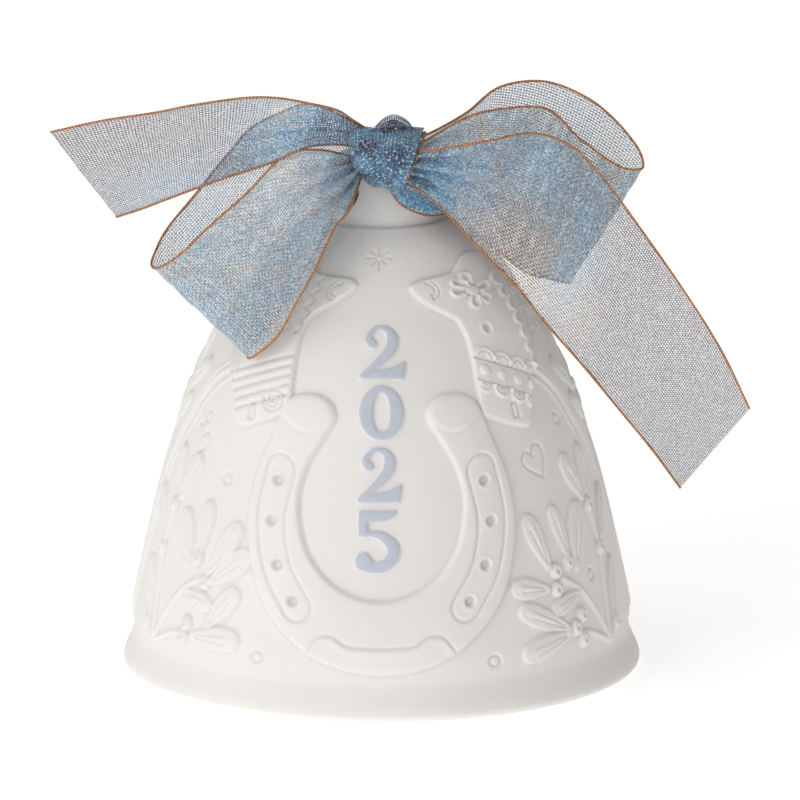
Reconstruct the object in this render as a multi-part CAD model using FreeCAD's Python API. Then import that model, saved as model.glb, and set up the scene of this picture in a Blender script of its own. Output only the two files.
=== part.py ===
import FreeCAD, Part
import math
import os

# A small porcelain Christmas bell that stands on its rim.
# Millimetres, +Z up, -Y is the front. The origin is on the bell's axis, in the plane of the rim.
# The shell is one casting with a solid crown. A ribbon passes through a bore in the crown and is
# tied in a bow in front of it. A clapper hangs inside from a wire eye and a link.

V = FreeCAD.Vector

# Driving dimensions of the shell
RIM_FOOT_R = 39.2
RIM_MAX_R = 40.0
WALL = 3.2
CROWN_TOP_Z = 83.0
CROWN_R = 9.5
CAVITY_TOP_Z = 67.5
CAVITY_NECK_R = 5.0

# Outside of the shell from the rim's widest ring up to the neck crease: (radius, height)
OUTER_LINE = [(RIM_MAX_R, 3.0), (39.5, 6.2), (38.6, 9.5), (37.4, 15.5), (36.0, 22.0), (34.4, 29.0),
              (32.5, 36.0), (30.2, 43.0), (27.3, 50.0), (23.9, 56.5), (19.9, 62.2), (15.2, 68.2),
              (11.4, 72.2)]

# Crown bore for the ribbon: a level hole, turned so that its left mouth faces the front left
BORE_R = 2.7
BORE_Z = 77.0
BORE_TURN = 50.0

# Clapper hardware
SOCKET_R = 2.0
SOCKET_TOP_Z = 72.5
WIRE_R = 0.6
LINK_WIRE_R = 0.5
EYE_RING_R = 2.2
LINK_RING_R = 2.6
EYE_Z = 63.6
HANG_GAP = 0.1
BALL_R = 8.0
BALL_Z = 20.0
BALL_BORE_R = 0.65
BEAD_R = 1.6

# Numerals: raised pads stacked down the front
NUMERAL_RISE = 0.55
NUMERAL_STROKE_R = 0.85
NUMERAL_WIDTH = 7.2
NUMERAL_BANDS = [(51.4, 58.4), (42.2, 50.0), (32.9, 40.8), (22.6, 31.4)]

# Ribbon
RIBBON_WIDTH = 22.0
RIBBON_THICK = 0.5
STRAP_R = 1.6


def spline(points):
    curve = Part.BSplineCurve()
    curve.interpolate(points)
    return curve.toShape()


def line(start, end):
    return Part.LineSegment(start, end).toShape()


def arc(start, middle, end):
    return Part.Arc(start, middle, end).toShape()


def revolve(edges):
    face = Part.Face(Part.Wire(edges))
    return face.revolve(V(0, 0, 0), V(0, 0, 1), 360)


def outer_points(offset=0.0):
    return [V(r + offset, 0, z) for r, z in OUTER_LINE]


def make_shell():
    """The casting: rounded rim, waist, dome and solid crown, with its cavity, bore and socket."""
    outside = outer_points()
    inside = [V(r - WALL, 0, z) for r, z in OUTER_LINE[1:-2]]
    rim_inner = V(RIM_FOOT_R - WALL, 0, 0)
    cavity_shoulder = V(CAVITY_NECK_R, 0, CAVITY_TOP_Z)
    neck = outside[-1]
    crown_base = V(CROWN_R + 0.9, 0, neck.z + 0.5)
    crown_waist = V(CROWN_R, 0, BORE_Z)
    crown_top = V(0, 0, CROWN_TOP_Z)
    edges = [
        line(V(0, 0, CAVITY_TOP_Z + 0.6), cavity_shoulder),
        spline([cavity_shoulder] + inside[::-1] + [V(RIM_FOOT_R - WALL + 0.1, 0, 2.0), rim_inner]),
        line(rim_inner, V(RIM_FOOT_R, 0, 0)),
        arc(V(RIM_FOOT_R, 0, 0), V(RIM_MAX_R - 0.18, 0, 1.2), outside[0]),
        spline(outside),
        line(neck, crown_base),
        spline([crown_base, crown_waist, V(CROWN_R - 1.3, 0, CROWN_TOP_Z - 2.6), V(4.6, 0, CROWN_TOP_Z - 0.6),
                crown_top]),
        line(crown_top, V(0, 0, CAVITY_TOP_Z + 0.6)),
    ]
    shell = revolve(edges)
    bore_axis = turned(V(1, 0, 0), BORE_TURN)
    bore_length = 4 * CROWN_R
    bore_start = V(0, 0, BORE_Z) - bore_axis * (bore_length / 2)
    shell = shell.cut(Part.makeCylinder(BORE_R, bore_length, bore_start, bore_axis))
    socket_depth = SOCKET_TOP_Z - CAVITY_TOP_Z + 2
    return shell.cut(Part.makeCylinder(SOCKET_R, socket_depth, V(0, 0, CAVITY_TOP_Z - 2)))


def turned(vector, degrees):
    return FreeCAD.Rotation(V(0, 0, 1), degrees).multVec(vector)


def numeral_layer():
    """A skin of NUMERAL_RISE over the outside of the shell, from which the numerals are cut."""
    low = outer_points()
    high = outer_points(NUMERAL_RISE)
    return revolve([spline(low), line(low[-1], high[-1]), spline(high), line(high[0], low[0])])


def stroke(path, radius):
    """A flat closed outline that runs at a constant distance round an open path."""
    outline = Part.Wire(path).makeOffset2D(radius, 0, False, False)
    return Part.Face(outline)


def numeral_face(digit, z_low, z_high):
    """The flat outline of one numeral in the front plane, between two heights."""
    half = NUMERAL_WIDTH / 2 - NUMERAL_STROKE_R
    bottom = z_low + NUMERAL_STROKE_R
    top = z_high - NUMERAL_STROKE_R
    if digit == 0:
        middle = V(0, 0, (bottom + top) / 2)
        outer = oval(middle, half + NUMERAL_STROKE_R, (z_high - z_low) / 2)
        inner = oval(middle, half - NUMERAL_STROKE_R, (z_high - z_low) / 2 - 2 * NUMERAL_STROKE_R)
        return outer.cut(inner)
    if digit == 2:
        bowl_r = half * 0.9
        bowl_mid = V(0, 0, top - bowl_r)
        side = V(bowl_r, 0, bowl_mid.z)
        path = [
            arc(V(-bowl_r, 0, bowl_mid.z), V(0, 0, top), side),
            line(side, V(-half, 0, bottom)),
            line(V(-half, 0, bottom), V(half, 0, bottom)),
        ]
        return stroke(path, NUMERAL_STROKE_R)
    bowl_r = (top - bottom) * 0.31
    bowl_mid = V(0.2, 0, bottom + bowl_r)
    shoulder = V(-half + 0.4, 0, bowl_mid.z + bowl_r * 0.9)
    path = [
        line(V(half, 0, top), V(-half + 0.4, 0, top)),
        line(V(-half + 0.4, 0, top), shoulder),
        line(shoulder, V(0.2, 0, bowl_mid.z + bowl_r)),
        arc(V(0.2, 0, bowl_mid.z + bowl_r), V(0.2 + bowl_r, 0, bowl_mid.z), V(0.2, 0, bottom)),
        line(V(0.2, 0, bottom), V(-half, 0, bottom + 0.8)),
    ]
    return stroke(path, NUMERAL_STROKE_R)


def oval(middle, half_width, half_height):
    """An upright ellipse face in the front plane."""
    ellipse = Part.Ellipse(V(0, 0, 0), half_height, half_width)
    face = Part.Face(Part.Wire(ellipse.toShape()))
    face.rotate(V(0, 0, 0), V(1, 0, 0), 90)
    face.rotate(V(0, 0, 0), V(0, 1, 0), 90)
    face.translate(middle)
    return face


def make_numeral(digit, z_low, z_high, layer):
    face = numeral_face(digit, z_low, z_high)
    prism = face.extrude(V(0, -RIM_MAX_R - 2, 0))
    return prism.common(layer)


def ring(middle, ring_r, wire_r, axis):
    return Part.makeTorus(ring_r, wire_r, middle, axis)


def eye_bottom_z():
    return EYE_Z - EYE_RING_R


def link_z():
    """Centre height of the link: its top arc hangs on the eye's lowest wire."""
    return eye_bottom_z() + WIRE_R + LINK_WIRE_R + HANG_GAP - LINK_RING_R


def link_bottom_z():
    return link_z() - LINK_RING_R


def hook_z():
    """Centre height of the clapper wire's eye, which hangs on the link's lowest wire."""
    return link_bottom_z() + WIRE_R + LINK_WIRE_R + HANG_GAP - EYE_RING_R


def make_eye():
    shank_z = EYE_Z + EYE_RING_R
    shank = Part.makeCylinder(WIRE_R, SOCKET_TOP_Z - 0.4 - shank_z, V(0, 0, shank_z))
    return ring(V(0, 0, EYE_Z), EYE_RING_R, WIRE_R, V(0, 1, 0)).fuse(shank)


def make_cement():
    """The plug that fills the socket round the shank, set a little proud of the dome."""
    low = CAVITY_TOP_Z - 0.4
    plug = Part.makeCylinder(SOCKET_R, SOCKET_TOP_Z - low, V(0, 0, low))
    shank = Part.makeCylinder(WIRE_R, SOCKET_TOP_Z - 0.4 - low + 1, V(0, 0, low - 1))
    return plug.cut(shank)


def make_link():
    return ring(V(0, 0, link_z()), LINK_RING_R, LINK_WIRE_R, V(1, 0, 0))


def make_clapper_wire():
    top = hook_z() - EYE_RING_R
    low = BALL_Z - BALL_R - BEAD_R
    wire = Part.makeCylinder(WIRE_R, top - low, V(0, 0, low))
    return ring(V(0, 0, hook_z()), EYE_RING_R, WIRE_R, V(0, 1, 0)).fuse(wire)


def make_ball():
    ball = Part.makeSphere(BALL_R, V(0, 0, BALL_Z))
    bore = Part.makeCylinder(BALL_BORE_R, 4 * BALL_R, V(0, 0, BALL_Z - 2 * BALL_R))
    return ball.cut(bore)


def make_bead():
    """The end bead, crimped on the wire under the ball."""
    bead = Part.makeSphere(BEAD_R, V(0, 0, BALL_Z - BALL_R - BEAD_R - 0.1))
    wire = Part.makeCylinder(WIRE_R, 4 * BEAD_R, V(0, 0, BALL_Z - BALL_R - BEAD_R))
    return bead.cut(wire)


def triangle_pair(a, b, c, d):
    """Two flat faces that fill the four-cornered patch a, b, c, d."""
    return [Part.Face(Part.makePolygon([a, b, c, a])), Part.Face(Part.makePolygon([a, c, d, a]))]


def band(stations):
    """A strip of ribbon through stations, each a centre and half of its width as a vector."""
    sections = []
    count = len(stations)
    for index, (centre, half) in enumerate(stations):
        before = stations[max(index - 1, 0)][0]
        after = stations[min(index + 1, count - 1)][0]
        normal = (after - before).cross(half).normalize() * (RIBBON_THICK / 2)
        sections.append([centre - half - normal, centre + half - normal, centre + half + normal,
                         centre - half + normal])
    faces = triangle_pair(*sections[0][::-1]) + triangle_pair(*sections[-1])
    for near, far in zip(sections, sections[1:]):
        faces += triangle_pair(near[0], near[1], far[1], far[0])
        faces += triangle_pair(near[1], near[2], far[2], far[1])
        faces += triangle_pair(near[3], far[3], far[2], near[2])
        faces += triangle_pair(near[3], near[0], far[0], far[3])
    shell = Part.makeShell(faces)
    shell.sewShape()
    return Part.Solid(shell)


def half_width(x, y, z, share=1.0):
    """Half of the ribbon's width as a vector along a direction, gathered to a share of its width."""
    return V(x, y, z).normalize() * (RIBBON_WIDTH / 2 * share)


def make_left_tail():
    return band([
        (V(-4.0, -8.5, 85.5), half_width(0.1, -0.3, 1.0, 0.14)),
        (V(-14.0, -7.0, 85.8), half_width(0.1, -0.6, 1.0, 0.6)),
        (V(-26.0, -5.5, 84.8), half_width(0.0, -0.8, 1.0, 0.95)),
        (V(-37.0, -4.8, 82.0), half_width(-0.2, -0.7, 1.0)),
        (V(-46.5, -4.4, 79.2), half_width(-9.9, -11.3, 16.0)),
    ])


def make_right_tail():
    return band([
        (V(5.0, -13.5, 82.5), half_width(0.4, -0.3, 1.0, 0.2)),
        (V(14.0, -15.5, 79.5), half_width(0.6, -0.5, 1.0, 0.7)),
        (V(24.0, -14.5, 70.5), half_width(0.75, -0.6, 0.8)),
        (V(33.0, -11.5, 60.0), half_width(0.75, -0.6, 0.6)),
        (V(43.0, -7.5, 48.0), half_width(0.7, -0.7, 0.6)),
        (V(52.1, -4.0, 35.3), half_width(10.7, -12.0, 15.0)),
    ])


def make_left_loop():
    fold = half_width(-14.8, 9.0, 17.0)
    return band([
        (V(-3.5, -11.0, 82.0), half_width(-0.5, 0.2, 1.0, 0.2)),
        (V(-12.5, -16.5, 77.0), half_width(-0.75, 0.3, 1.0, 0.75)),
        (V(-21.5, -18.5, 69.0), half_width(-0.9, 0.5, 1.0)),
        (V(-26.6, -17.2, 62.6), fold),
        (V(-27.7, -15.0, 61.2), fold),
        (V(-26.8, -12.8, 62.8), fold),
        (V(-21.5, -11.5, 70.5), half_width(-0.9, 0.5, 1.0)),
        (V(-12.5, -9.5, 79.0), half_width(-0.6, 0.3, 1.0, 0.75)),
        (V(-4.0, -8.5, 83.5), half_width(-0.3, 0.1, 1.0, 0.2)),
    ])


def make_right_loop():
    fold = half_width(11.4, 3.4, 17.7)
    return band([
        (V(5.0, -9.0, 82.5), half_width(0.2, 0.1, 1.0, 0.2)),
        (V(15.0, -7.0, 81.5), half_width(0.3, 0.1, 1.0, 0.8)),
        (V(26.0, -4.5, 79.5), half_width(0.45, 0.2, 1.0)),
        (V(33.6, -1.2, 73.0), fold),
        (V(35.0, 0.8, 72.6), fold),
        (V(33.8, 2.8, 73.6), fold),
        (V(26.0, 4.2, 82.0), half_width(0.45, 0.2, 1.0)),
        (V(15.0, 1.0, 85.0), half_width(0.3, 0.1, 1.0, 0.7)),
        (V(4.5, -6.0, 84.5), half_width(0.2, 0.1, 1.0, 0.15)),
    ])


def make_knot():
    """The knot: a squat egg shape, a little tilted, in front of the crown."""
    egg = Part.makeSphere(1.0)
    stretch = FreeCAD.Matrix()
    stretch.scale(4.6, 3.4, 5.3)
    egg = egg.transformGeometry(stretch)
    egg.rotate(V(0, 0, 0), V(0, 1, 0), -12)
    egg.translate(V(1.0, -11.8, 83.4))
    return egg


def rounded_path(points):
    """Straight runs joined by tangent arcs, each arc as large as its two runs allow."""
    edges = []
    start = points[0]
    for before, corner, after in zip(points, points[1:], points[2:]):
        back = (before - corner)
        ahead = (after - corner)
        reach = 0.45 * min(back.Length, ahead.Length)
        back.normalize()
        ahead.normalize()
        half_turn = (math.pi - back.getAngle(ahead)) / 2
        radius = reach / math.tan(half_turn)
        first = corner + back * reach
        last = corner + ahead * reach
        inward = (back + ahead).normalize()
        centre_distance = math.hypot(radius, reach)
        middle = corner + inward * (centre_distance - radius)
        edges.append(line(start, first))
        edges.append(arc(first, middle, last))
        start = last
    edges.append(line(start, points[-1]))
    return Part.Wire(edges)


def make_strap():
    """The ribbon, crushed to a cord's width, from the knot through the crown bore and back."""
    along = turned(V(1, 0, 0), BORE_TURN)
    left_mouth = V(0, 0, BORE_Z) - along * (CROWN_R + 2.6)
    right_mouth = V(0, 0, BORE_Z) + along * (CROWN_R + 2.8)
    path = rounded_path([
        V(-2.2, -12.4, 82.2),
        V(-7.6, -12.6, 80.6),
        left_mouth,
        right_mouth,
        V(12.4, 7.0, 77.4),
        V(14.0, 0.0, 77.0),
        V(11.6, -8.2, 77.4),
        V(4.2, -12.6, 79.4),
    ])
    first_edge = path.OrderedEdges[0]
    start = first_edge.valueAt(first_edge.FirstParameter)
    direction = first_edge.tangentAt(first_edge.FirstParameter)
    section = Part.Wire(Part.Circle(start, direction, STRAP_R).toShape())
    return path.makePipeShell([section], True, False)


def export(name, shape):
    shape = shape.removeSplitter() if len(shape.Solids) == 1 else shape
    solid = shape.Solids[0] if len(shape.Solids) == 1 else shape
    solid.exportStep("parts/" + name + ".step")
    box = solid.optimalBoundingBox()
    print(name, "solids", len(shape.Solids), "valid", solid.isValid(), "volume", round(solid.Volume, 1),
          "box", [round(v, 1) for v in (box.XMin, box.YMin, box.ZMin, box.XMax, box.YMax, box.ZMax)])


os.makedirs("parts", exist_ok=True)
export("bell_shell", make_shell())
skin = numeral_layer()
for place, (digit, (low_z, high_z)) in enumerate(zip((2, 0, 2, 5), NUMERAL_BANDS), 1):
    export("numeral_%d" % place, make_numeral(digit, low_z, high_z, skin))
export("clapper_eye", make_eye())
export("eye_cement", make_cement())
export("clapper_link", make_link())
export("clapper_wire", make_clapper_wire())
export("clapper_ball", make_ball())
export("clapper_bead", make_bead())
export("bow_knot", make_knot())
export("bow_left_loop", make_left_loop())
export("bow_right_loop", make_right_loop())
export("bow_left_tail", make_left_tail())
export("bow_right_tail", make_right_tail())
export("crown_strap", make_strap())
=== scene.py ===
import bpy
import bmesh
import math
import numpy as np
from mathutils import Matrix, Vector


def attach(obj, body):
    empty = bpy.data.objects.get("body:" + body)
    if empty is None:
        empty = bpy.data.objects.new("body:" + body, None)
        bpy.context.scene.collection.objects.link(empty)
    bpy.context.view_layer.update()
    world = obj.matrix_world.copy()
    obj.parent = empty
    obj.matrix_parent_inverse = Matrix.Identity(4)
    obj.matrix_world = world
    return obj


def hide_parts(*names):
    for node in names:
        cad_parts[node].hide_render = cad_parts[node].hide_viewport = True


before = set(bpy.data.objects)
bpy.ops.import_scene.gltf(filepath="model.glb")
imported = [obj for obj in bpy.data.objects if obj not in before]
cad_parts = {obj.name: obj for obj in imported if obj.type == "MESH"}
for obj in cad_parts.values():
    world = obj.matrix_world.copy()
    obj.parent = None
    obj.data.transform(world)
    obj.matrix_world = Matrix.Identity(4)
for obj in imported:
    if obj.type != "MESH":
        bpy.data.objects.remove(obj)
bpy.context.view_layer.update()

# Shapes are laid out in millimetres and turned into metres when a mesh is made.
MM = 0.001

# Shell: outside line from the rim's foot to the neck crease, as (radius, height)
OUTER_LINE = [(39.4, 0.0), (40.2, 0.35), (40.6, 1.0), (40.5, 1.8), (40.1, 2.9), (39.5, 4.2), (39.0, 5.6),
              (38.85, 7.0), (38.6, 9.8), (37.4, 15.6), (36.0, 22.0), (34.4, 29.0), (32.5, 36.0), (30.2, 43.0),
              (27.3, 50.0), (23.9, 56.5), (19.9, 62.2), (15.2, 68.2), (11.4, 72.2)]
RIM_ROLL = 0.9           # length of profile round the rolled foot, where the relief's chart starts
WALL = 3.2
CAVITY_FOOT = [(36.2, 0.0), (36.3, 2.0)]
CAVITY_MOUTH_R = 36.6
CAVITY_TOP_Z = 67.5
CAVITY_NECK_R = 5.0
CROWN_LINE = [(10.6, 71.6), (10.4, 72.7), (9.5, 77.0), (8.2, 80.4), (4.6, 82.4), (0.0, 83.0)]
BORE_R = 2.7
BORE_Z = 77.0
BORE_TURN = math.radians(50)
CAP_Z = 72.3             # flat closing of the skin, hidden inside the crown

# Detail of the relief's grid and of the mesh made from it
GRID_COLUMNS = 1400
GRID_ROWS = 440
SKIN_FACES = 380000


# ---------------------------------------------------------------- curves and meshes

def smooth(points, steps, closed=False):
    """A Catmull-Rom curve through the points."""
    p = np.asarray(points, float)
    if closed:
        ring = np.vstack([p[-1:], p, p[:2]])
    else:
        ring = np.vstack([2 * p[:1] - p[1:2], p, 2 * p[-1:] - p[-2:-1]])
    t = np.linspace(0, 1, steps, endpoint=False)[:, None]
    out = []
    for a, b, c, d in zip(ring, ring[1:], ring[2:], ring[3:]):
        out.append(b + 0.5 * t * (c - a + t * (2 * a - 5 * b + 4 * c - d + t * (3 * (b - c) + d - a))))
    out = np.vstack(out)
    return out if closed else np.vstack([out, p[-1:]])


def lengths(points):
    """Distance along a curve to each of its points."""
    return np.concatenate([[0], np.cumsum(np.linalg.norm(np.diff(points, axis=0), axis=1))])


def grid_faces(rows, columns, wrap=False):
    """Quads that join a grid of points, row by row. wrap joins the last column to the first."""
    i = np.arange(rows - 1)[:, None]
    j = np.arange(columns if wrap else columns - 1)[None, :]
    k = (j + 1) % columns
    quads = np.stack([i * columns + j, i * columns + k, (i + 1) * columns + k, (i + 1) * columns + j], -1)
    return quads.reshape(-1, 4)


def mesh_object(name, points, faces):
    """A mesh object from points in millimetres and faces of one size."""
    points = np.asarray(points, float)
    faces = np.asarray(faces, np.int32)
    sides = faces.shape[1]
    mesh = bpy.data.meshes.new(name)
    mesh.vertices.add(len(points))
    mesh.vertices.foreach_set("co", (points * MM).ravel())
    mesh.loops.add(faces.size)
    mesh.loops.foreach_set("vertex_index", faces.ravel())
    mesh.polygons.add(len(faces))
    mesh.polygons.foreach_set("loop_start", np.arange(0, faces.size, sides, dtype=np.int32))
    mesh.polygons.foreach_set("loop_total", np.full(len(faces), sides, np.int32))
    mesh.polygons.foreach_set("use_smooth", np.ones(len(faces), bool))
    mesh.update(calc_edges=True)
    obj = bpy.data.objects.new(name, mesh)
    bpy.context.scene.collection.objects.link(obj)
    return obj


def vertex_array(obj):
    co = np.zeros(len(obj.data.vertices) * 3)
    obj.data.vertices.foreach_get("co", co)
    return co.reshape(-1, 3) / MM


def point_value(obj, name, values):
    """Stores one number for each vertex, for the materials to read."""
    layer = obj.data.attributes.new(name, "FLOAT", "POINT")
    layer.data.foreach_set("value", np.ascontiguousarray(values, np.float32).ravel())


def apply_modifiers(obj):
    graph = bpy.context.evaluated_depsgraph_get()
    mesh = bpy.data.meshes.new_from_object(obj.evaluated_get(graph))
    obj.modifiers.clear()
    obj.data = mesh


def around(r, angle, z):
    """Points at a radius from the axis, an angle from the front and a height."""
    return np.stack(np.broadcast_arrays(r * np.sin(angle), -r * np.cos(angle), z), -1)


def revolve(name, line, columns):
    """A surface of revolution about Z. tidy_mesh closes an end that comes close to the axis."""
    angle = np.linspace(0, 2 * math.pi, columns, endpoint=False)
    r, z = np.asarray(line, float).T
    points = around(r[:, None], angle, z[:, None]).reshape(-1, 3)
    return mesh_object(name, points, grid_faces(len(line), columns, True))


def edit_mesh(obj, change):
    """Changes an object's mesh by a function of its bmesh."""
    work = bmesh.new()
    work.from_mesh(obj.data)
    change(work)
    work.to_mesh(obj.data)
    work.free()


def tidy_mesh(obj, distance):
    """Merges points that coincide and turns the faces outwards."""
    def change(work):
        bmesh.ops.remove_doubles(work, verts=work.verts, dist=distance * MM)
        bmesh.ops.recalc_face_normals(work, faces=work.faces)
    edit_mesh(obj, change)


# ---------------------------------------------------------------- distances in the plane

def ramp(x):
    x = np.clip(x, 0, 1)
    return x * x * (3 - 2 * x)


def from_segment(u, v, a, b):
    """Distance to a segment, and how far along it the nearest point is."""
    du, dv = b[0] - a[0], b[1] - a[1]
    t = np.clip(((u - a[0]) * du + (v - a[1]) * dv) / (du * du + dv * dv + 1e-12), 0, 1)
    return np.hypot(u - a[0] - t * du, v - a[1] - t * dv), t


def from_path(u, v, path):
    best = np.full(np.broadcast(u, v).shape, 1e9)
    for a, b in zip(path, path[1:]):
        best = np.minimum(best, from_segment(u, v, a, b)[0])
    return best


def from_stroke(u, v, path):
    """Signed distance to a stroke. Its points are (u, v, half width)."""
    best = np.full(np.broadcast(u, v).shape, 1e9)
    for a, b in zip(path, path[1:]):
        d, t = from_segment(u, v, a, b)
        best = np.minimum(best, d - (a[2] + t * (b[2] - a[2])))
    return best


def from_shape(u, v, outline):
    """Signed distance to a closed outline, negative inside."""
    closed = np.vstack([outline, outline[:1]])
    inside = np.zeros(np.broadcast(u, v).shape, bool)
    for (au, av), (bu, bv) in zip(closed, closed[1:]):
        if av != bv:
            inside ^= ((av > v) != (bv > v)) & (u < (bu - au) * (v - av) / (bv - av) + au)
    d = from_path(u, v, closed)
    return np.where(inside, -d, d)


def turned(points, degrees, centre):
    """Points turned about the origin and moved to a centre."""
    c, s = math.cos(math.radians(degrees)), math.sin(math.radians(degrees))
    return points @ np.array([[c, s], [-s, c]]) + centre


def mirrored(points):
    """The other half of a symmetric outline: points mirrored in u, in reverse order."""
    return [(-a, b) for a, b in points[::-1]]


# ---------------------------------------------------------------- relief on the shell
# Its numbers are millimetres in a chart: u round the shell from a meridian, s up its profile.

PROFILE = smooth(OUTER_LINE, 24)
PROFILE_S = lengths(PROFILE) - RIM_ROLL


class Relief:
    """Height over the shell's outside, on a grid of angles and of lengths along its profile."""

    def __init__(self, columns, rows):
        self.angle = np.linspace(-math.pi, math.pi, columns, endpoint=False)
        self.s = np.linspace(PROFILE_S[0], PROFILE_S[-1], rows)
        self.r = np.interp(self.s, PROFILE_S, PROFILE[:, 0])
        self.z = np.interp(self.s, PROFILE_S, PROFILE[:, 1])
        self.slope_r = np.gradient(self.r, self.s)
        self.slope_z = np.gradient(self.z, self.s)
        self.h = np.zeros((rows, columns))

    def patch(self, degrees, reach, low, high):
        """A window about a meridian: its grid index, and u and s over it in millimetres.
        u is the arc length from the meridian, positive to the right seen from outside."""
        rows = np.where((self.s >= low) & (self.s <= high))[0]
        away = (self.angle - math.radians(degrees) + math.pi) % (2 * math.pi) - math.pi
        columns = np.where(np.abs(away) * self.r[rows].min() <= reach)[0]
        u = away[columns][None, :] * self.r[rows][:, None]
        s = np.repeat(self.s[rows][:, None], len(columns), 1)
        return np.ix_(rows, columns), u, s

    def pad(self, where, d, height, edge):
        """Raises the inside of a shape to a height, with a soft edge."""
        self.h[where] = np.maximum(self.h[where], height * ramp(0.5 - d / edge))

    def mound(self, where, d, height, reach):
        """Raises a rounded bump that is highest at the middle of its shape."""
        self.h[where] = np.maximum(self.h[where], height * np.sqrt(np.clip(-d / reach, 0, 1)))

    def line(self, where, d, height, width, only=1):
        """Adds a soft ridge along d = 0, or a groove where the height is negative."""
        self.h[where] += height * np.exp(-(d / width) ** 2) * only

    def sink(self, where, d, depth, edge, only=1):
        """Lowers the inside of a shape by a depth, with a soft edge."""
        self.h[where] -= depth * ramp(0.5 - d / edge) * only


def horseshoe(relief, degrees):
    """A horseshoe, open end up, with heel caps, nail channels, nail holes and a toe clip."""
    where, u, s = relief.patch(degrees, 27, 4, 56)
    right = [(5.6, 8.2), (11.0, 10.1), (16.2, 14.2), (19.8, 19.1), (21.6, 25.3), (21.9, 31.2), (20.4, 37.8),
             (17.9, 43.2), (16.2, 47.2), (14.6, 49.6), (12.0, 50.6), (9.2, 50.4), (7.4, 48.9), (7.2, 46.9),
             (9.2, 43.6), (11.8, 39.0), (13.1, 33.4), (12.0, 27.0), (8.9, 22.4), (4.8, 19.7)]
    d = from_shape(u, s, smooth([(0.0, 7.6)] + right + [(0.0, 18.7)] + mirrored(right), 6, True))
    relief.pad(where, d, 0.72, 0.75)
    relief.h[where] += 0.34 * np.sqrt(np.clip(-d / 3.6, 0, 1)) * (d < 0)
    nails = [(16.3, 36.8), (17.4, 30.5), (16.4, 23.8), (13.8, 18.4)]
    channel = smooth([(15.8, 38.6), (17.5, 31.0), (16.5, 23.6), (13.2, 17.6)], 6)
    for side in (-1, 1):
        cap_edge = 44.6 + 0.12 * (u * side - 11.5) ** 2
        cap = ramp((s - cap_edge) / 0.7) * ramp((u * side - 4) / 1.0)
        relief.h[where] += 0.22 * cap * ramp(-d / 1.0)
        relief.line(where, s - cap_edge + 0.2, -0.09, 0.3, ramp(-d / 0.8) * (u * side > 4))
        channel_d = from_path(u * side, s, channel) - 2.35
        relief.line(where, channel_d, -0.3, 0.24)
        relief.sink(where, channel_d, 0.12, 0.8)
        for nail_u, nail_s in nails:
            hole_d = np.hypot(u * side - nail_u, s - nail_s) - 0.82
            relief.sink(where, hole_d, 0.6, 0.4)
            relief.line(where, hole_d - 0.35, 0.1, 0.25)
    half_clip = [(3.0, 11.7), (5.4, 12.0), (7.4, 13.3), (9.4, 13.2), (10.8, 11.8), (11.8, 10.6)]
    clip = np.array(mirrored(half_clip) + [(0.0, 11.6)] + half_clip)
    relief.line(where, from_path(u, s, smooth(clip, 6)), -0.3, 0.26, d < 0)
    relief.line(where, from_path(u, s, smooth(clip - (0, 0.75), 6)), 0.16, 0.5, d < 0)


BOOT = [(-10.0, 68.8), (-8.6, 69.9), (-5.6, 70.1), (-2.8, 70.4), (-0.6, 71.6), (1.8, 72.9), (5.2, 73.5),
        (8.6, 72.6), (10.2, 70.4), (10.6, 67.0), (10.2, 63.6), (9.4, 59.9), (8.7, 56.0), (7.7, 52.4),
        (6.2, 50.6), (4.4, 47.9), (2.8, 44.9), (1.8, 44.1), (0.2, 44.4), (-3.2, 45.8), (-5.8, 46.9),
        (-6.6, 48.3), (-6.5, 50.6), (-5.6, 54.7), (-4.9, 58.4), (-4.7, 61.2), (-5.2, 63.2), (-7.3, 65.4),
        (-9.4, 67.4)]
BOOT_BACK = [(7.4, 73.2), (9.4, 71.4), (10.5, 67.4), (10.2, 63.6), (9.4, 59.9), (8.7, 56.0), (7.7, 52.6)]
FLOWER_BOOT = [(-10.1, 68.4), (-8.6, 69.3), (-5.6, 69.8), (-3.2, 70.0), (-1.6, 70.4), (0.0, 71.5),
               (1.8, 72.5), (4.4, 72.8), (6.5, 72.3), (8.4, 71.2), (10.1, 69.6), (11.4, 67.2), (12.1, 64.4),
               (12.0, 61.8), (11.2, 59.0), (10.0, 56.0), (8.9, 53.5), (7.8, 52.0), (5.8, 51.3), (4.5, 49.0),
               (3.4, 46.6), (2.0, 43.9), (-1.4, 44.6), (-4.4, 45.8), (-6.3, 46.7), (-6.5, 48.2),
               (-6.2, 50.9), (-5.6, 54.1), (-5.2, 56.8), (-4.9, 59.0), (-5.0, 60.8), (-5.2, 62.2),
               (-6.0, 63.0), (-8.7, 65.2), (-9.9, 66.8)]
# Piping down the flower boot's back: its first line, and the edge of the boot
PIPING_FIRST = [(6.2, 70.2), (6.5, 68.4), (7.0, 65.6), (7.5, 62.6), (7.4, 60.0), (7.4, 56.6), (7.3, 54.2),
                (7.3, 52.0)]
PIPING_EDGE = [(8.6, 71.2), (10.1, 69.6), (11.6, 66.6), (12.1, 63.4), (11.4, 59.6), (10.1, 56.2), (8.9, 53.5),
               (7.9, 52.1)]


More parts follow.
